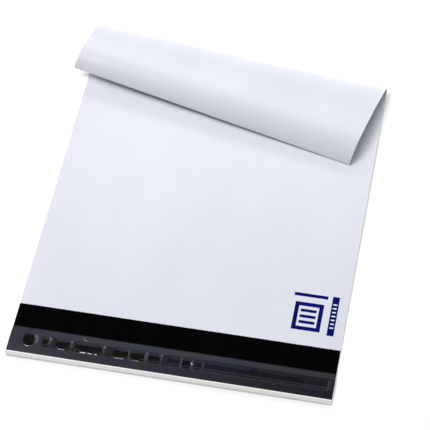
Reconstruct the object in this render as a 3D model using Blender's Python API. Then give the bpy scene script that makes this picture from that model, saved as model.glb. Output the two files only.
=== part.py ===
"""Poly mailer bag, lying face up with its closed end curled over onto its front panel.

Metres, +Z up. The mouth and its flap point to -Y, the closed end to +Y, and the underside of the
film lies at Z = 0. The origin is under the bag's centre line, halfway along the part that lies flat.
"""

import math

import bmesh
import bpy
from mathutils import Matrix, Vector

# Film bag: one web of film, folded at the closed end and welded along both sides
BAG_WIDTH = 0.2286
BODY_LENGTH = 0.3048
FLAP_LENGTH = 0.0381
FILM = 0.00025
POCKET_GAP = 0.0003
WELD_WIDTH = 0.003
WELD_SLOPE = 0.002

# Curl: four stretches of film from where it leaves the table to the closed end. The crest turns
# as far as it takes for a corner of the closed end to land on the panel, between these limits.
# The lip starts straight and bends more and more to its end; the others bend evenly.
RISE_LENGTH = 0.0220
RISE_TURN = math.radians(10.1)
CREST_LENGTH = 0.0090
CREST_TURN_LIMITS = (math.radians(60), math.radians(240))
CREST_TURN_STEP = 1e-7
BACK_LENGTH = 0.0334
BACK_TURN = math.radians(13.8)
LIP_LENGTH = 0.0265
LIP_TURN = math.radians(51)
LANDING_GAP = 0.0005

# Skew of the bend lines against the bag's width, which makes the curl taper from left to right
TAKE_OFF_SKEW = math.radians(1.9)
CREST_SKEW = math.radians(6.0)
BACK_SKEW = math.radians(7.6)
LIP_SKEW = math.radians(1.1)

# Closure: a stripe of adhesive on the flap under a peel-off liner
LINER_WIDTH = 0.020
LINER_THICKNESS = 0.00015
ADHESIVE_WIDTH = 0.008
ADHESIVE_THICKNESS = 0.00015
ADHESIVE_END_MARGIN = 0.004
SEAT_GAP = 0.0003

# How finely the bends are faceted
RISE_LINES = 8
CREST_LINES = 24
BACK_LINES = 5
LIP_LINES = 12
PANEL_SPANS = 4
NOSE_SPANS = 4

WHITE_FILM = (0.83, 0.85, 0.92)
BLACK_FILM = (0.006, 0.006, 0.008)
LINER_GREY = (0.035, 0.038, 0.055)
ADHESIVE_AMBER = (0.55, 0.48, 0.32)

WALLS = 2 * FILM + POCKET_GAP
FILM_LENGTH = FLAP_LENGTH + BODY_LENGTH
CURL_LENGTH = RISE_LENGTH + CREST_LENGTH + BACK_LENGTH + LIP_LENGTH
FLAT_LENGTH = FILM_LENGTH - CURL_LENGTH
UP = Vector((0, 0, 1))
TO_ORIGIN = Matrix.Translation((0, -FLAT_LENGTH / 2, WALLS / 2))


def clear_scene():
    for obj in list(bpy.data.objects):
        bpy.data.objects.remove(obj)


def plastic(name, colour, roughness):
    material = bpy.data.materials.new(name)
    material.use_nodes = True
    shader = material.node_tree.nodes["Principled BSDF"]
    shader.inputs["Base Color"].default_value = (*colour, 1)
    shader.inputs["Roughness"].default_value = roughness
    shader.inputs["Metallic"].default_value = 0
    material.diffuse_color = (*colour, 1)
    return material


def bend(middle, skew, turn):
    """Turns the film beyond one straight bend line upwards, as a matrix on the flat film."""
    point = Vector((0, middle, 0))
    line = Vector((math.cos(skew), -math.sin(skew), 0))
    there = Matrix.Translation(point)
    return there @ Matrix.Rotation(turn, 4, line) @ there.inverted()


def film_rows(crest_turn):
    """The film's rows across, from the flap's free end to the closed end.

    Each row is its distance along the middle of the film, its skew, the place of the film that
    leads up to it, and the direction of thickness there, lengthened so that a bend keeps it.
    """
    rows = [(0, 0, Matrix.Identity(4), UP), (FLAP_LENGTH, 0, Matrix.Identity(4), UP)]
    even, growing = 0, 1
    stretches = (
        (RISE_LENGTH, RISE_TURN, even, RISE_LINES, TAKE_OFF_SKEW, CREST_SKEW),
        (CREST_LENGTH, crest_turn, even, CREST_LINES, CREST_SKEW, BACK_SKEW),
        (BACK_LENGTH, BACK_TURN, even, BACK_LINES, BACK_SKEW, LIP_SKEW),
        (LIP_LENGTH, LIP_TURN, growing, LIP_LINES, LIP_SKEW, 0),
    )
    place = Matrix.Identity(4)
    start = FLAT_LENGTH
    for length, turn, growth, lines, first_skew, last_skew in stretches:
        for i in range(lines):
            share = (i + 0.5) / lines
            middle = start + length * share
            skew = first_skew + (last_skew - first_skew) * share
            angle = turn / lines * (1 + growth * (2 * share - 1))
            before = place
            place = before @ bend(middle, skew, angle)
            both_faces = before.to_3x3() @ UP + place.to_3x3() @ UP
            rows.append((middle, skew, before, both_faces / (1 + math.cos(angle))))
        start += length
    rows.append((FILM_LENGTH - WALLS / 2, 0, place, place.to_3x3() @ UP))
    return rows


def film_point(row, across, height, beyond=0):
    """A point of the bag: across from its centre line, and height above its underside."""
    middle, skew, place, thickness = row
    along = middle - across * math.tan(skew) + beyond
    return TO_ORIGIN @ (place @ Vector((across, along, 0)) + thickness * (height - WALLS / 2))


def landed_rows():
    """Rows of the curl whose crest turns until a corner of the closed end comes down on the panel."""
    least, most = CREST_TURN_LIMITS
    landing = WALLS + LANDING_GAP + WALLS / 2
    while most - least > CREST_TURN_STEP:
        crest_turn = (least + most) / 2
        rows = film_rows(crest_turn)
        corners = [film_point(rows[-1], side * BAG_WIDTH / 2, WALLS / 2).z for side in (-1, 1)]
        if min(corners) > landing:
            least = crest_turn
        else:
            most = crest_turn
    return rows


def columns_across():
    """Places across the bag, each with the gap between the two walls there, none at the welds."""
    edge = BAG_WIDTH / 2
    inner = edge - WELD_WIDTH - WELD_SLOPE
    panel = [inner * (2 * i / PANEL_SPANS - 1) for i in range(PANEL_SPANS + 1)]
    places = [-edge, WELD_WIDTH - edge, *panel, edge - WELD_WIDTH, edge]
    return [(across, POCKET_GAP if abs(across) <= inner else 0) for across in places]


def add_film_bag():
    """One solid: back wall with its flap, front wall, the fold between them and the side welds."""
    rows = landed_rows()
    columns = columns_across()
    bm = bmesh.new()
    verts = {}

    def vert(row, column, height, beyond=0):
        key = (row, column, round(height, 7), round(beyond, 7))
        if key not in verts:
            verts[key] = bm.verts.new(film_point(rows[row], columns[column][0], height, beyond))
        return verts[key]

    def face(corners, ink):
        corners = list(dict.fromkeys(corners))
        if len(corners) > 2:
            bm.faces.new(corners).material_index = ink

    def wall(first_row, last_row, first_column, last_column, height, ink, upwards):
        for r in range(first_row, last_row):
            for c in range(first_column, last_column):
                corners = [(r, c), (r, c + 1), (r + 1, c + 1), (r + 1, c)]
                quad = [vert(i, j, height(j)) for i, j in corners]
                face(quad if upwards else quad[::-1], ink)

    def underside(column):
        return 0

    def back_inner(column):
        return FILM

    def front_inner(column):
        return FILM + columns[column][1]

    def front_outer(column):
        return 2 * FILM + columns[column][1]

    white, black = 0, 1
    mouth, end, edge = 1, len(rows) - 1, len(columns) - 1
    wall(0, end, 0, edge, underside, white, False)
    wall(0, mouth, 0, edge, back_inner, black, True)
    wall(mouth, end, 1, edge - 1, back_inner, black, True)
    wall(mouth, end, 1, edge - 1, front_inner, black, False)
    wall(mouth, end, 0, edge, front_outer, white, True)

    for c in range(edge):
        cut_edges = ((0, underside, back_inner), (mouth, front_inner, front_outer))
        for row, low, high in cut_edges:
            face([vert(row, c, low(c)), vert(row, c + 1, low(c + 1)),
                  vert(row, c + 1, high(c + 1)), vert(row, c, high(c))], white)
    for c in range(1, edge - 1):
        face([vert(end, c, back_inner(c)), vert(end, c + 1, back_inner(c + 1)),
              vert(end, c + 1, front_inner(c + 1)), vert(end, c, front_inner(c))], black)

    for column, first, last in ((0, 1, 0), (edge, 0, 1)):
        for r in range(end):
            plies = 1 if r < mouth else 2
            for ply in range(plies):
                low, high = ply * FILM, (ply + 1) * FILM
                face([vert(r + first, column, low), vert(r + last, column, low),
                      vert(r + last, column, high), vert(r + first, column, high)], white)

    def nose(column):
        """The rounded outside of the fold at the closed end, from the underside to the front."""
        radius = front_outer(column) / 2
        angles = [math.pi * (i / NOSE_SPANS - 0.5) for i in range(NOSE_SPANS + 1)]
        arc = [(radius + radius * math.sin(a), radius * math.cos(a)) for a in angles]
        return [vert(end, column, height, beyond) for height, beyond in arc]

    noses = [nose(c) for c in range(edge + 1)]
    for left, right in zip(noses, noses[1:]):
        for i in range(NOSE_SPANS):
            face([left[i], left[i + 1], right[i + 1], right[i]], white)
    face([vert(end, 0, FILM), *noses[0][::-1]], white)
    face([vert(end, edge, FILM), *noses[edge]], white)

    mesh = bpy.data.meshes.new("film_bag")
    bm.to_mesh(mesh)
    bm.free()
    mesh.materials.append(plastic("white_film", WHITE_FILM, 0.35))
    mesh.materials.append(plastic("black_film", BLACK_FILM, 0.3))
    bpy.context.collection.objects.link(bpy.data.objects.new("film_bag", mesh))


def add_strip(name, width, length, thickness, centre_along, underside, material):
    """A flat strip across the flap, its long sides square to the bag."""
    bm = bmesh.new()
    bmesh.ops.create_cube(bm, size=1)
    bmesh.ops.scale(bm, vec=(length, width, thickness), verts=bm.verts)
    mesh = bpy.data.meshes.new(name)
    bm.to_mesh(mesh)
    bm.free()
    mesh.materials.append(material)
    strip = bpy.data.objects.new(name, mesh)
    strip.location = (0, centre_along - FLAT_LENGTH / 2, underside + thickness / 2)
    bpy.context.collection.objects.link(strip)


def add_closure():
    adhesive_underside = FILM + SEAT_GAP
    adhesive_length = BAG_WIDTH - 2 * ADHESIVE_END_MARGIN
    add_strip("adhesive_strip", ADHESIVE_WIDTH, adhesive_length, ADHESIVE_THICKNESS,
              LINER_WIDTH / 2, adhesive_underside, plastic("adhesive", ADHESIVE_AMBER, 0.25))
    liner_underside = adhesive_underside + ADHESIVE_THICKNESS + SEAT_GAP
    add_strip("release_liner", LINER_WIDTH, BAG_WIDTH, LINER_THICKNESS,
              LINER_WIDTH / 2, liner_underside, plastic("liner_film", LINER_GREY, 0.4))


clear_scene()
add_film_bag()
add_closure()
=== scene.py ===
import math

import bpy
from mathutils import Matrix, Vector, noise


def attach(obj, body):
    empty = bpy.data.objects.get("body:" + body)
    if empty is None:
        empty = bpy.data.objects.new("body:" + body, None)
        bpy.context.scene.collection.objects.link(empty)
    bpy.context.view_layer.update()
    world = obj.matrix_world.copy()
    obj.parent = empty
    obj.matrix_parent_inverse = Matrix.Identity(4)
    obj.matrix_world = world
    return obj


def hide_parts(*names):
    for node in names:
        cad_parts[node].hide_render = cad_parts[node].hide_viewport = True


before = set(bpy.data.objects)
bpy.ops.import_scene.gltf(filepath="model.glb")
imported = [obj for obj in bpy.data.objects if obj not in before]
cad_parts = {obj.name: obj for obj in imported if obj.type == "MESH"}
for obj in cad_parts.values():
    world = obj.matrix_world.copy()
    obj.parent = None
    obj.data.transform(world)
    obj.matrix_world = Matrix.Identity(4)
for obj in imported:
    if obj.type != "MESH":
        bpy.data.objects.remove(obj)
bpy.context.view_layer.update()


# Film bag. One web of co-extruded polyethylene film, white outside and black inside, is folded
# across at the closed end and heat-welded up both sides, and its back wall runs on as the flap.
# The closed end has taken a curl and lies over onto the bag's own front panel.
BAG_WIDTH = 0.2286
BODY_LENGTH = 0.3048
FLAP_LENGTH = 0.0381
FILM = 0.00025
POCKET_GAP = 0.00008
WELD_GAP = 0.00002
WELD_WIDTH = 0.003
WELD_SLOPE = 0.002
FILM_LENGTH = FLAP_LENGTH + BODY_LENGTH
WEB_LENGTH = 2 * FILM_LENGTH - FLAP_LENGTH
WALLS = 2 * FILM + POCKET_GAP

RISE_LENGTH, RISE_TURN, RISE_LINES = 0.0220, math.radians(10.1), 14
CREST_LENGTH, CREST_TURN, CREST_LINES = 0.0090, math.radians(157.6), 54
BACK_LENGTH, BACK_TURN, BACK_LINES = 0.0334, math.radians(13.8), 12
LIP_LENGTH, LIP_TURN, LIP_LINES = 0.0265, math.radians(51), 24
TAKE_OFF_SKEW = math.radians(1.9)
CREST_SKEW = math.radians(6.0)
BACK_SKEW = math.radians(7.6)
LIP_SKEW = math.radians(1.1)
FLAT_LENGTH = FILM_LENGTH - RISE_LENGTH - CREST_LENGTH - BACK_LENGTH - LIP_LENGTH

FLAT_ROW_STEP = 0.004
COLUMN_STEP = 0.0035
NOSE_STEPS = 6
FLAP_LIFT = 0.0004
FLAP_LIFT_LENGTH = 0.050
RIPPLES = ((0.085, 0.00045), (0.034, 0.00010))

UP = Vector((0, 0, 1))
TO_FRAME = Matrix.Translation((0, -FLAT_LENGTH / 2, WALLS / 2))


def bend(middle, skew, turn):
    """Turns the film beyond one straight bend line upwards."""
    there = Matrix.Translation((0, middle, 0))
    line = Vector((math.cos(skew), -math.sin(skew), 0))
    return there @ Matrix.Rotation(turn, 4, line) @ there.inverted()


def film_rows():
    """Rows across the film from the flap's free end: distance, skew, place and thickness."""
    rows = []
    panel_end = FLAT_LENGTH - FLAT_ROW_STEP / 2
    for first, last, skew in ((0, FLAP_LENGTH, 0), (FLAP_LENGTH, panel_end, TAKE_OFF_SKEW)):
        steps = round((last - first) / FLAT_ROW_STEP)
        for i in range(steps):
            share = i / steps
            rows.append((first + (last - first) * share, skew * share, Matrix(), UP))
    place = Matrix()
    start = FLAT_LENGTH
    even, growing = 0, 1
    for length, turn, growth, lines, first_skew, last_skew in (
        (RISE_LENGTH, RISE_TURN, even, RISE_LINES, TAKE_OFF_SKEW, CREST_SKEW),
        (CREST_LENGTH, CREST_TURN, even, CREST_LINES, CREST_SKEW, BACK_SKEW),
        (BACK_LENGTH, BACK_TURN, even, BACK_LINES, BACK_SKEW, LIP_SKEW),
        (LIP_LENGTH, LIP_TURN, growing, LIP_LINES, LIP_SKEW, 0),
    ):
        for i in range(lines):
            share = (i + 0.5) / lines
            skew = first_skew + (last_skew - first_skew) * share
            angle = turn / lines * (1 + growth * (2 * share - 1))
            before = place
            place = before @ bend(start + length * share, skew, angle)
            thickness = (before.to_3x3() @ UP + place.to_3x3() @ UP) / (1 + math.cos(angle))
            rows.append((start + length * share, skew, before, thickness))
        start += length
    return rows + [(FILM_LENGTH - WALLS / 2, 0, place, place.to_3x3() @ UP)]


def ripple(across, along):
    """How far the slack film stands off the table, never below it, with its flap sprung up."""
    height = 0
    for i, (wave, depth) in enumerate(RIPPLES):
        height += depth * (0.5 + 0.5 * noise.noise(Vector((across / wave, along / wave, 7 * i))))
    lift = max(0, 1 - along / FLAP_LIFT_LENGTH)
    return height + FLAP_LIFT * lift * lift


def film_point(row, across, height, beyond=0):
    middle, skew, place, thickness = row
    along = middle - across * math.tan(skew) + beyond
    stand = height - WALLS / 2 + ripple(across, along)
    return TO_FRAME @ (place @ Vector((across, along, 0)) + thickness * stand), along


def pocket_gap(across):
    """The gap between the walls, which closes up at the welds."""
    inside = BAG_WIDTH / 2 - WELD_WIDTH - abs(across)
    share = min(1, max(0, inside / WELD_SLOPE))
    return WELD_GAP + (POCKET_GAP - WELD_GAP) * share * share * (3 - 2 * share)


def web_trip():
    """The way along the web: up the back wall, round the closed end and down the front wall.

    Each stop is its wall, its row of the film, and its angle round the closed end.
    """
    rows = film_rows()
    mouth = round(FLAP_LENGTH / FLAT_ROW_STEP)
    angles = [math.pi * (i / NOSE_STEPS - 0.5) for i in range(1, NOSE_STEPS)]
    front = [("front", row, 0) for row in rows[:mouth - 1:-1]]
    return [("back", row, 0) for row in rows] + [("nose", rows[-1], a) for a in angles] + front


def web_columns():
    """Places across the web, closer together at the welds."""
    edge = BAG_WIDTH / 2
    inner = edge - WELD_WIDTH - WELD_SLOPE
    spans = round(2 * inner / COLUMN_STEP)
    weld = [edge, edge - WELD_WIDTH / 2, edge - WELD_WIDTH, edge - WELD_WIDTH - WELD_SLOPE / 2]
    panel = [inner * (2 * i / spans - 1) for i in range(spans + 1)]
    return [-x for x in weld] + panel + weld[::-1]


def shape_web(web, columns, trip):
    """Lays the flat grid of a web out as the folded bag, and maps it by its place on the film."""
    mesh = web.data
    places = {}
    for vertex in mesh.vertices:
        across = columns[round((vertex.co.x + 0.5) * (len(columns) - 1))]
        wall, row, angle = trip[round((vertex.co.y + 0.5) * (len(trip) - 1))]
        back_height, front_height = FILM / 2, 1.5 * FILM + pocket_gap(across)
        if wall == "nose":
            centre, radius = (front_height + back_height) / 2, (front_height - back_height) / 2
            height, beyond = centre + radius * math.sin(angle), radius * math.cos(angle)
            vertex.co = film_point(row, across, height, beyond)[0]
            web_place = FILM_LENGTH + WALLS / 2 * math.sin(angle)
        else:
            height = back_height if wall == "back" else front_height
            vertex.co, along = film_point(row, across, height)
            web_place = along if wall == "back" else 2 * FILM_LENGTH - along
        places[vertex.index] = ((across + BAG_WIDTH / 2) / WEB_LENGTH, web_place / WEB_LENGTH)
    uv = mesh.uv_layers.active.data
    for loop in mesh.loops:
        uv[loop.index].uv = places[loop.vertex_index]


def add_node(material, kind, **settings):
    node = material.node_tree.nodes.new(kind)
    for name, value in settings.items():
        setattr(node, name, value)
    return node


def wire(material, source, target):
    material.node_tree.links.new(source, target)


def maths(material, operation, *values):
    """A maths node on sockets or plain numbers, which gives its output socket."""
    node = add_node(material, "ShaderNodeMath", operation=operation)
    for socket, value in zip(node.inputs, values):
        if isinstance(value, (int, float)):
            socket.default_value = value
        else:
            wire(material, value, socket)
    return node.outputs[0]


def noise_on(material, place, scale, stretch=(1, 1, 1), detail=3):
    """Smooth noise over a place in metres, its scale in lumps for each metre."""
    mapping = add_node(material, "ShaderNodeMapping")
    mapping.inputs["Scale"].default_value = stretch
    wire(material, place, mapping.inputs["Vector"])
    texture = add_node(material, "ShaderNodeTexNoise")
    texture.inputs["Scale"].default_value = scale
    texture.inputs["Detail"].default_value = detail
    wire(material, mapping.outputs[0], texture.inputs["Vector"])
    return texture.outputs[0]


def ranged(material, value, low, high, to_low, to_high):
    node = add_node(material, "ShaderNodeMapRange")
    for socket, number in zip(node.inputs[1:5], (low, high, to_low, to_high)):
        socket.default_value = number
    wire(material, value, node.inputs[0])
    return node.outputs[0]


def mixed(material, factor, first, second):
    """Two colours mixed by a factor; each is a colour or a socket."""
    node = add_node(material, "ShaderNodeMix", data_type="RGBA")
    sockets = (node.inputs[6], node.inputs[7])
    for socket, colour in zip(sockets, (first, second)):
        if isinstance(colour, tuple):
            socket.default_value = (*colour, 1)
        else:
            wire(material, colour, socket)
    wire(material, factor, node.inputs[0])
    return node.outputs[2]


def bumped(material, shader, height, distance, strength):
    bump = add_node(material, "ShaderNodeBump")
    bump.inputs["Strength"].default_value = strength
    bump.inputs["Distance"].default_value = distance
    wire(material, height, bump.inputs["Height"])
    wire(material, bump.outputs[0], shader.inputs["Normal"])


def plastic(name, roughness, specular):
    material = bpy.data.materials.new(name)
    material.use_nodes = True
    shader = material.node_tree.nodes["Principled BSDF"]
    shader.inputs["Roughness"].default_value = roughness
    shader.inputs["Specular IOR Level"].default_value = specular
    return material, shader


def film_place(material):
    """The place on the web in metres: across from its left edge, and along from the flap's end."""
    uv = add_node(material, "ShaderNodeUVMap", uv_map="UVMap")
    scaled = add_node(material, "ShaderNodeVectorMath", operation="SCALE")
    scaled.inputs["Scale"].default_value = WEB_LENGTH
    wire(material, uv.outputs[0], scaled.inputs[0])
    return scaled.outputs[0]


# The white film is mottled with slightly darker clouds. They are a painted reflection that stands in
# for the uneven sheen of the slack film.
WHITE = (0.80, 0.825, 0.90)
WHITE_DULL_SHEEN = (0.77, 0.795, 0.875)
INK = (0.0003, 0.0036, 0.150)
BLACK = (0.0006, 0.0007, 0.0010)
BLACK_STREAK = (0.0012, 0.0013, 0.0018)
FILM_GLOSS, INK_GLOSS, BLACK_GLOSS = 0.5, 0.05, 0.01
WHITE_ROUGHNESS, BLACK_ROUGHNESS = 0.24, 0.28
SHEEN_CLOUDS, STREAKS, GRAIN = (22, (1, 0.6, 1)), (60, (1, 0.08, 1)), (1400, (1, 0.7, 1), 2)
GRAIN_HEIGHT, GRAIN_STRENGTH = 0.00003, 0.25

BAR_CENTRE, BAR_SIZE = (0.2194, 0.0257), (0.0049, 0.0313)
TICKS, TICK_STEP, TICK_SIZE = 7, 0.0031, (0.0026, 0.0011)
BOX_CENTRE, BOX_SIZE, BOX_LINE = (0.2018, 0.0226), (0.0202, 0.0222), 0.0030
WRITE_LINES, WRITE_STEP, WRITE_SIZE = 3, 0.0046, (0.0112, 0.0023)
RULE_CENTRE, RULE_SIZE = (0.2018, 0.0396), (0.0238, 0.0026)


def white_film():
    material, shader = plastic("white_film", WHITE_ROUGHNESS, FILM_GLOSS)
    place = film_place(material)
    # Painted sheen: the white is mixed towards a duller white in clouds.
    sheen_clouds = noise_on(material, place, *SHEEN_CLOUDS)
    film = mixed(material, ranged(material, sheen_clouds, 0.35, 0.65, 0, 1), WHITE, WHITE_DULL_SHEEN)
    split = add_node(material, "ShaderNodeSeparateXYZ")
    wire(material, place, split.inputs[0])
    across = split.outputs[0]
    mouth = 2 * FILM_LENGTH - FLAP_LENGTH
    from_mouth = maths(material, "SUBTRACT", mouth, split.outputs[1])

    def block(centre, size):
        """One inside a plain rectangle of print, and nought outside it."""
        inside = []
        for where, middle, extent in zip((across, from_mouth), centre, size):
            off = maths(material, "ABSOLUTE", maths(material, "SUBTRACT", where, middle))
            inside.append(maths(material, "LESS_THAN", off, extent / 2))
        return maths(material, "MULTIPLY", *inside)

    def row_of_blocks(centre, size, count, step):
        first = centre[1] - step * (count - 1) / 2
        blocks = [block((centre[0], first + step * i), size) for i in range(count)]
        total = blocks[0]
        for each in blocks[1:]:
            total = maths(material, "ADD", total, each)
        return total

    inner = tuple(side - 2 * BOX_LINE for side in BOX_SIZE)
    bar = maths(material, "SUBTRACT", block(BAR_CENTRE, BAR_SIZE),
                row_of_blocks(BAR_CENTRE, TICK_SIZE, TICKS, TICK_STEP))
    outline = maths(material, "SUBTRACT", block(BOX_CENTRE, BOX_SIZE), block(BOX_CENTRE, inner))
    lines = row_of_blocks(BOX_CENTRE, WRITE_SIZE, WRITE_LINES, WRITE_STEP)
    frame_and_lines = maths(material, "ADD", outline, lines)
    print_area = maths(material, "ADD", maths(material, "ADD", bar, frame_and_lines),
                       block(RULE_CENTRE, RULE_SIZE))
    wire(material, mixed(material, print_area, film, INK), shader.inputs["Base Color"])
    wire(material, ranged(material, print_area, 0, 1, FILM_GLOSS, INK_GLOSS),
         shader.inputs["Specular IOR Level"])
    bumped(material, shader, noise_on(material, place, *GRAIN), GRAIN_HEIGHT, GRAIN_STRENGTH)
    return material


def black_film():
    material, shader = plastic("black_film", BLACK_ROUGHNESS, BLACK_GLOSS)
    place = film_place(material)
    streaks = noise_on(material, place, *STREAKS)
    colour = mixed(material, ranged(material, streaks, 0.4, 0.7, 0, 1), BLACK, BLACK_STREAK)
    wire(material, colour, shader.inputs["Base Color"])
    bumped(material, shader, noise_on(material, place, *GRAIN), GRAIN_HEIGHT, GRAIN_STRENGTH)
    return material


bpy.ops.object.select_all(action="DESELECT")
columns, trip = web_columns(), web_trip()
bpy.ops.mesh.primitive_grid_add(x_subdivisions=len(columns) - 1, y_subdivisions=len(trip) - 1, size=1)
bag = bpy.context.object
bag.name = "folded_film_bag"
shape_web(bag, columns, trip)
bag.data.materials.append(black_film())
bag.data.materials.append(white_film())
wall = bag.modifiers.new("wall", "SOLIDIFY")
wall.thickness = FILM
wall.offset = 0
wall.use_even_offset = True
wall.material_offset = 1
wall.material_offset_rim = 1
bpy.ops.object.modifier_apply(modifier=wall.name)
bpy.ops.object.shade_smooth_by_angle(angle=math.radians(40))
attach(bag, "root")
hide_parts("film_bag")


# Adhesive stripe. A bead of clear amber hot-melt is laid across the flap as the bag is made. It is
# crowned, with wavy edges, and stays tacky under its liner.
ADHESIVE_WIDTH = 0.008
ADHESIVE_END_MARGIN = 0.004
ADHESIVE_CENTRE = 0.010
ADHESIVE_THICKNESS = 0.00008
ADHESIVE_CROWN = 0.00005
ADHESIVE_STEPS = (220, 12)
ADHESIVE_CLEAR = 0.000025
ADHESIVE_WAVER, ADHESIVE_WAVE = 0.0005, 0.009
LUMP_SCALE, LUMP_HEIGHT, LUMP_STRENGTH = 300, 0.00005, 0.5
AMBER, AMBER_THIN = (0.42, 0.33, 0.16), (0.52, 0.45, 0.28)


def flap_point(across, along, clear):
    """A point that stands clear of the flap's upper face."""
    return film_point((along, 0, Matrix(), UP), across, FILM + clear)[0]


def grid_mesh(name, columns, rows, shape):
    """A grid added as it is and moved into shape; shape takes shares of the way along its sides."""
    bpy.ops.object.select_all(action="DESELECT")
    bpy.ops.mesh.primitive_grid_add(x_subdivisions=columns, y_subdivisions=rows, size=1)
    made = bpy.context.object
    made.name = name
    for vertex in made.data.vertices:
        vertex.co = shape(vertex.co.x + 0.5, vertex.co.y + 0.5)
    return made


def add_wall(piece, thickness):
    wall = piece.modifiers.new("wall", "SOLIDIFY")
    wall.thickness = thickness
    wall.offset = 0
    bpy.context.view_layer.objects.active = piece
    bpy.ops.object.modifier_apply(modifier=wall.name)
    bpy.ops.object.shade_smooth_by_angle(angle=math.radians(40))


def adhesive_shape(share_across, share_along):
    across = (share_across - 0.5) * (BAG_WIDTH - 2 * ADHESIVE_END_MARGIN)
    side = 2 * share_along - 1
    waver = ADHESIVE_WAVER * side * noise.noise(Vector((across / ADHESIVE_WAVE, side, 3)))
    clear = ADHESIVE_THICKNESS / 2 + ADHESIVE_CLEAR + ADHESIVE_CROWN * (1 - side * side)
    return flap_point(across, ADHESIVE_CENTRE + side * ADHESIVE_WIDTH / 2 + waver, clear)


def adhesive_melt():
    material, shader = plastic("adhesive", 0.22, 0.5)
    place = add_node(material, "ShaderNodeTexCoord").outputs["Object"]
    lumps = noise_on(material, place, LUMP_SCALE)
    colour = mixed(material, ranged(material, lumps, 0.35, 0.65, 0, 1), AMBER, AMBER_THIN)
    wire(material, colour, shader.inputs["Base Color"])
    bumped(material, shader, lumps, LUMP_HEIGHT, LUMP_STRENGTH)
    return material


stripe = grid_mesh("adhesive_stripe", *ADHESIVE_STEPS, adhesive_shape)
stripe.data.materials.append(adhesive_melt())
add_wall(stripe, ADHESIVE_THICKNESS)
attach(stripe, "root")
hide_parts("adhesive_strip")


# Release liner. A strip of thin translucent film peels off the adhesive. It clings to the adhesive
# in patches, and stands a little past the flap's end to be gripped, where it looks pale.
LINER_WIDTH = 0.020
LINER_OVERHANG = 0.0034
LINER_THICKNESS = 0.00005
LINER_COLUMN_STEP = 0.00042
LINER_ROW_STEPS = (
    (-LINER_OVERHANG, 0, 5), (0, 0.0046, 7), (0.0046, 0.0082, 18), (0.0082, 0.0146, 14),
    (0.0146, LINER_WIDTH, 18),
)
LINER_EDGE_CLEAR, LINER_CLEAR = 0.00008, 0.00066
PATCH_ALONG = (0.0060, 0.0125)
PATCH_DEPTH = 0.00045
TAUT_LIP, SLACK_LIP, SLACK_SIDE = 0.00118, 0.0024, 0.0030
TAUT_BLUR = 0.0003
EDGE_BLUR, EDGE_WAVER, EDGE_WAVE = 0.0005, 0.0007, (0.0018, 0.003)
LINER_MARGIN = 0.006
SLACK_HEIGHT, SLACK_WAVE = 0.00003, (0.012, 0.006)
PATCHES = (
    (0.0239, 0.0279, 0.7), (0.0336, 0.0432, 0.8), (0.0475, 0.0664, 0.9), (0.0746, 0.0846, 1.0),
    (0.0864, 0.0964, 0.8), (0.0996, 0.1070, 0.7), (0.1140, 0.1215, 0.5), (0.1233, 0.1290, 1.0),
    (0.1310, 0.1368, 0.5), (0.1384, 0.1612, 0.5), (0.1612, 0.2080, 0.55), (0.2084, 0.2235, 0.4),
)
TAUT = (
    (0.0350, 0.0410, 0.3), (0.0514, 0.0557, 1.0), (0.0570, 0.0600, 0.9), (0.0615, 0.0638, 1.0),
    (0.0757, 0.0828, 0.5), (0.0875, 0.0940, 0.2),
)
SPOT_CENTRE, SPOT_SIZE = (0.0139, 0.0101), (0.0041, 0.0055)
SPOT_LIP, SPOT_LEAST, SPOT_SLACK = 0.179, 0.5, 0.70
SPOT_TURN, SPOT_RIM, SPOT_LOWER = (-0.6, 0.8), (0.94, 1.06), (-0.001, 0.002)
RIDGES = ((0.0284, 0.0332), (0.0434, 0.0473), (0.0670, 0.0742), (0.1072, 0.1138), (0.1700, 0.1750))
RIDGE_ALONG = (0.0062, 0.0145)
RIDGE_STEP, RIDGE_HEIGHT, RIDGE_DARK = 0.0014, 0.00011, 0.8
RIDGE_LEAN, RIDGE_WAVE = 0.0006, (0.003, 0.004)
UPPER_EDGE, UPPER_EDGE_DARK = 0.018, 0.45
CREASES = (((0.0493, 0.0185), (0.0564, 0.0149)), ((0.1284, 0.0121), (0.1323, 0.0095)))
CREASE_WIDTH, CREASE_HEIGHT = 0.0005, 0.00020


def smooth(value, low, high):
    share = min(1, max(0, (value - low) / (high - low)))
    return share * share * (3 - 2 * share)


def between(value, first, last, blur):
    return smooth(value, first - blur, first + blur) * (1 - smooth(value, last - blur, last + blur))


def wavering(across, along, wave, layer):
    """Smooth noise from minus one to one, with its own length of wave each way."""
    return noise.noise(Vector((across / wave[0], along / wave[1], layer)))


def taut(across):
    """How tightly the liner is stretched over the lower edge of a patch there."""
    return max(pull * between(across, first, last, EDGE_BLUR) for first, last, pull in TAUT)


def spot_contact(across, along):
    """The round spot: pressed and dark, with a tight lower left side and a slack upper right."""
    right, up = ((p - c) / s for p, c, s in zip((across, along), SPOT_CENTRE, SPOT_SIZE))
    away = max(0.01, math.hypot(right, up))
    slack = smooth((right + up) / away, *SPOT_TURN)
    tight = SPOT_LIP * max(SPOT_LEAST, -up / away)
    lip = tight + (SPOT_SLACK - tight) * slack
    pressed = min(1, max(0, (1 + SPOT_SLACK * slack - away) / lip))
    return pressed, 1 - smooth(away, *SPOT_RIM)


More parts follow.
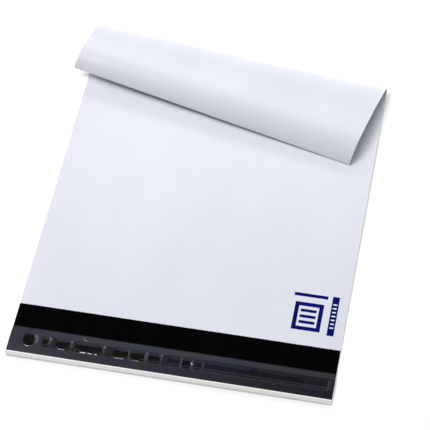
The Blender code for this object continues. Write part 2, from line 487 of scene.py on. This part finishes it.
def contact(across, along):
    """How far the liner is pressed onto the adhesive there, and how dark it looks for it.

    Both go from nought to one, and the place is measured from the liner's left end.
    """
    low, high = PATCH_ALONG
    waver = EDGE_WAVER * wavering(across, along, EDGE_WAVE, 5)
    lip = TAUT_LIP if taut(across) > 0.1 else SLACK_LIP
    sunk = min(1, max(0, (along - low) / lip)) * (1 - smooth(along, high, high + SLACK_SIDE))
    shaded = between(along + waver, low + EDGE_BLUR, high, EDGE_BLUR)
    pressed, dark = spot_contact(across, along)
    for first, last, strength in PATCHES:
        side = smooth(across, first - EDGE_BLUR, first + EDGE_BLUR)
        pressed = max(pressed, sunk * side * (1 - smooth(across, last, last + SLACK_SIDE)))
        dark = max(dark, strength * shaded * between(across + waver, first, last, EDGE_BLUR))
    dark = max(dark, RIDGE_DARK * (1 - ridge(across, along)) * among_ridges(across, along))
    return pressed, max(dark, UPPER_EDGE_DARK * smooth(along, UPPER_EDGE, LINER_WIDTH))


def among_ridges(across, along):
    inside = max(between(across, first, last, EDGE_BLUR) for first, last in RIDGES)
    return inside * between(along, *RIDGE_ALONG, EDGE_BLUR)


def ridge(across, along):
    """The fine upright ridges between some of the patches, from nought to one."""
    lean = RIDGE_LEAN * wavering(across, along, RIDGE_WAVE, 9)
    return math.sin(math.pi * (across + lean) / RIDGE_STEP) ** 2


def crease(across, along):
    """The creases pinched up in the liner, from nought to one."""
    height = 0
    for (x0, y0), (x1, y1) in CREASES:
        length = math.dist((x0, y0), (x1, y1))
        run = ((across - x0) * (x1 - x0) + (along - y0) * (y1 - y0)) / length
        aside = ((across - x0) * (y1 - y0) - (along - y0) * (x1 - x0)) / length
        taper = max(0, 1 - (2 * run / length - 1) ** 2)
        height += taper * math.exp(-((aside / CREASE_WIDTH) ** 2))
    return height


def liner_rows():
    rows = []
    for first, last, steps in LINER_ROW_STEPS:
        rows += [first + (last - first) * i / steps for i in range(steps)]
    return rows + [LINER_WIDTH]


def liner_clear(across, along):
    """How far the liner's middle stands off the flap."""
    inward = smooth(min(along, LINER_WIDTH - along), 0, LINER_MARGIN)
    clear = LINER_EDGE_CLEAR + (LINER_CLEAR - LINER_EDGE_CLEAR) * inward
    clear += SLACK_HEIGHT * wavering(across, along, SLACK_WAVE, 11) * inward
    clear += RIDGE_HEIGHT * ridge(across, along) * among_ridges(across, along)
    clear += CREASE_HEIGHT * crease(across, along)
    return clear - PATCH_DEPTH * contact(across, along)[0]


def polish(across, along):
    """How much the liner is drawn smooth there: over tight edges, round the spot, along creases."""
    low = PATCH_ALONG[0]
    edge = taut(across) * between(along, low, low + TAUT_LIP, TAUT_BLUR)
    pressed = spot_contact(across, along)[0]
    rim = between(pressed, 0.1, 0.9, 0.1) * smooth(SPOT_CENTRE[1] - along, *SPOT_LOWER)
    return min(1, edge + rim + smooth(crease(across, along), 0.1, 0.5))


LINER_BLUE, LINER_GREY = (0.015, 0.0185, 0.040), (0.022, 0.020, 0.026)
LINER_BLUE_RIGHT, LINER_GREY_RIGHT = (0.006, 0.0075, 0.016), (0.008, 0.008, 0.011)
WETTED, WETTED_THIN = (0.0012, 0.0014, 0.0008), (0.0040, 0.0042, 0.0030)
LINER_PALE, LINER_PALEST, PALEST_WIDTH = (0.73, 0.725, 0.71), (0.95, 0.95, 0.95), 0.0009
LINER_GLOSS, WETTED_GLOSS = 0.2, 0.16
LINER_ROUGHNESS, SLEEK_ROUGHNESS = 0.30, 0.12
HAZE_SCALE, WETTED_SCALE = 70, 260


def liner_film():
    material, shader = plastic("liner", LINER_ROUGHNESS, LINER_GLOSS)
    dark = add_node(material, "ShaderNodeAttribute", attribute_name="contact").outputs["Fac"]
    place = add_node(material, "ShaderNodeTexCoord").outputs["Object"]
    haze = ranged(material, noise_on(material, place, HAZE_SCALE), 0.35, 0.65, 0, 1)
    split = add_node(material, "ShaderNodeSeparateXYZ")
    wire(material, place, split.inputs[0])
    rightward = ranged(material, split.outputs[0], 0, BAG_WIDTH / 2, 0, 1)
    film = mixed(material, rightward, mixed(material, haze, LINER_BLUE, LINER_GREY),
                 mixed(material, haze, LINER_BLUE_RIGHT, LINER_GREY_RIGHT))
    spread = ranged(material, noise_on(material, place, WETTED_SCALE), 0.4, 0.6, 0, 1)
    wetted = mixed(material, spread, WETTED, WETTED_THIN)
    over_black = mixed(material, ranged(material, dark, 0.1, 0.7, 0, 1), film, wetted)
    past_flap = maths(material, "LESS_THAN", split.outputs[1], -FLAT_LENGTH / 2)
    by_flap = maths(material, "GREATER_THAN", split.outputs[1], -FLAT_LENGTH / 2 - PALEST_WIDTH)
    pale = mixed(material, by_flap, LINER_PALE, LINER_PALEST)
    wire(material, mixed(material, past_flap, over_black, pale), shader.inputs["Base Color"])
    drawn = add_node(material, "ShaderNodeAttribute", attribute_name="polish").outputs["Fac"]
    sleek = maths(material, "MAXIMUM", ranged(material, dark, 0, 0.6, 0, 1), drawn)
    wire(material, ranged(material, sleek, 0, 1, LINER_ROUGHNESS, SLEEK_ROUGHNESS),
         shader.inputs["Roughness"])
    gloss = ranged(material, dark, 0, 0.6, LINER_GLOSS, WETTED_GLOSS)
    wire(material, maths(material, "MAXIMUM", gloss, drawn), shader.inputs["Specular IOR Level"])
    return material


rows_along = liner_rows()


def liner_shape(share_across, share_along):
    across = share_across * BAG_WIDTH
    along = rows_along[round(share_along * (len(rows_along) - 1))]
    return flap_point(across - BAG_WIDTH / 2, along, liner_clear(across, along))


liner = grid_mesh("peel_off_liner", round(BAG_WIDTH / LINER_COLUMN_STEP), len(rows_along) - 1,
                  liner_shape)
darkness = liner.data.attributes.new("contact", "FLOAT", "POINT")
smoothness = liner.data.attributes.new("polish", "FLOAT", "POINT")
for vertex in liner.data.vertices:
    across, along = vertex.co.x + BAG_WIDTH / 2, vertex.co.y + FLAT_LENGTH / 2
    darkness.data[vertex.index].value = contact(across, along)[1]
    smoothness.data[vertex.index].value = polish(across, along)
liner.data.materials.append(liner_film())
add_wall(liner, LINER_THICKNESS)
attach(liner, "root")
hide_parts("release_liner")


# Studio. A plain pale floor that keeps the bag's shadow, a large soft light high on the left, a
# wide one low behind the bag, a thin low one that only makes highlights, and an even pale surround.
FLOOR_SIZE, FLOOR_LEVEL = 6, -0.0002
FLOOR_COLOUR = (0.86, 0.86, 0.86)
FLOOR_GLOW = 0.255
SURROUND = 0.35
HIGH_PLACE, HIGH_SIZE, HIGH_GLOW = (-1.74, 0.55, 2.37), (1.2, 1.2), 11.2
BACK_PLACE, BACK_SIZE, BACK_GLOW = (-0.15, 1.0, 1.3), (0.9, 0.32), 2.8
GLINT_PLACE, GLINT_SIZE, GLINT_GLOW = (-0.05, 1.40, 0.50), (1.3, 0.12), 17

bpy.ops.object.select_all(action="DESELECT")
bpy.ops.mesh.primitive_plane_add(size=FLOOR_SIZE, location=(0, 0, FLOOR_LEVEL))
floor = bpy.context.object
floor.name = "floor"
floor_paint, floor_shader = plastic("floor_paint", 0.9, 0.0)
floor_shader.inputs["Base Color"].default_value = (*FLOOR_COLOUR, 1)
seen = add_node(floor_paint, "ShaderNodeLightPath")
glow = maths(floor_paint, "MULTIPLY", seen.outputs["Is Camera Ray"], FLOOR_GLOW)
floor_shader.inputs["Emission Color"].default_value = (1, 1, 1, 1)
wire(floor_paint, glow, floor_shader.inputs["Emission Strength"])
floor.data.materials.append(floor_paint)

world = bpy.data.worlds.new("surround")
bpy.context.scene.world = world
world.use_nodes = True
background = world.node_tree.nodes["Background"]
sky_seen = add_node(world, "ShaderNodeLightPath").outputs["Is Camera Ray"]
wire(world, ranged(world, sky_seen, 0, 1, SURROUND, 1), background.inputs["Strength"])
background.inputs["Color"].default_value = (1, 1, 1, 1)


def add_soft_light(name, place, size, glow, aim=(0, 0, 0)):
    """A rectangular light of one glow all over, so its power grows with its size."""
    light = bpy.data.lights.new(name, "AREA")
    light.shape = "RECTANGLE"
    light.size, light.size_y = size
    light.energy = glow * math.pi * size[0] * size[1]
    lamp = bpy.data.objects.new(name, light)
    lamp.location = place
    lamp.rotation_euler = (Vector(aim) - Vector(place)).to_track_quat("-Z", "Y").to_euler()
    lamp.visible_camera = False
    bpy.context.scene.collection.objects.link(lamp)


add_soft_light("high_light", HIGH_PLACE, HIGH_SIZE, HIGH_GLOW)
add_soft_light("back_light", BACK_PLACE, BACK_SIZE, BACK_GLOW)
add_soft_light("glint_light", GLINT_PLACE, GLINT_SIZE, GLINT_GLOW)

VIEW_AZIMUTH, VIEW_ELEVATION, VIEW_ROLL = (math.radians(a) for a in (16.13, 56.80, -5.73))
VIEW_DISTANCE = 1.1884
VIEW_TARGET = Vector((0.00725, 0.00723, 0.0004))
LENS = 137.02

backward = Vector((math.sin(VIEW_AZIMUTH) * math.cos(VIEW_ELEVATION),
                   -math.cos(VIEW_AZIMUTH) * math.cos(VIEW_ELEVATION), math.sin(VIEW_ELEVATION)))
level = Vector((math.cos(VIEW_AZIMUTH), math.sin(VIEW_AZIMUTH), 0))
upward = backward.cross(level)
rightward = level * math.cos(VIEW_ROLL) + upward * math.sin(VIEW_ROLL)
upward = backward.cross(rightward)
camera_data = bpy.data.cameras.new("camera")
camera_data.lens = LENS
camera = bpy.data.objects.new("camera", camera_data)
turn = Matrix((rightward, upward, backward)).transposed().to_4x4()
camera.matrix_world = Matrix.Translation(VIEW_TARGET + backward * VIEW_DISTANCE) @ turn
bpy.context.scene.collection.objects.link(camera)
bpy.context.scene.camera = camera
bpy.context.scene.view_settings.view_transform = "Standard"
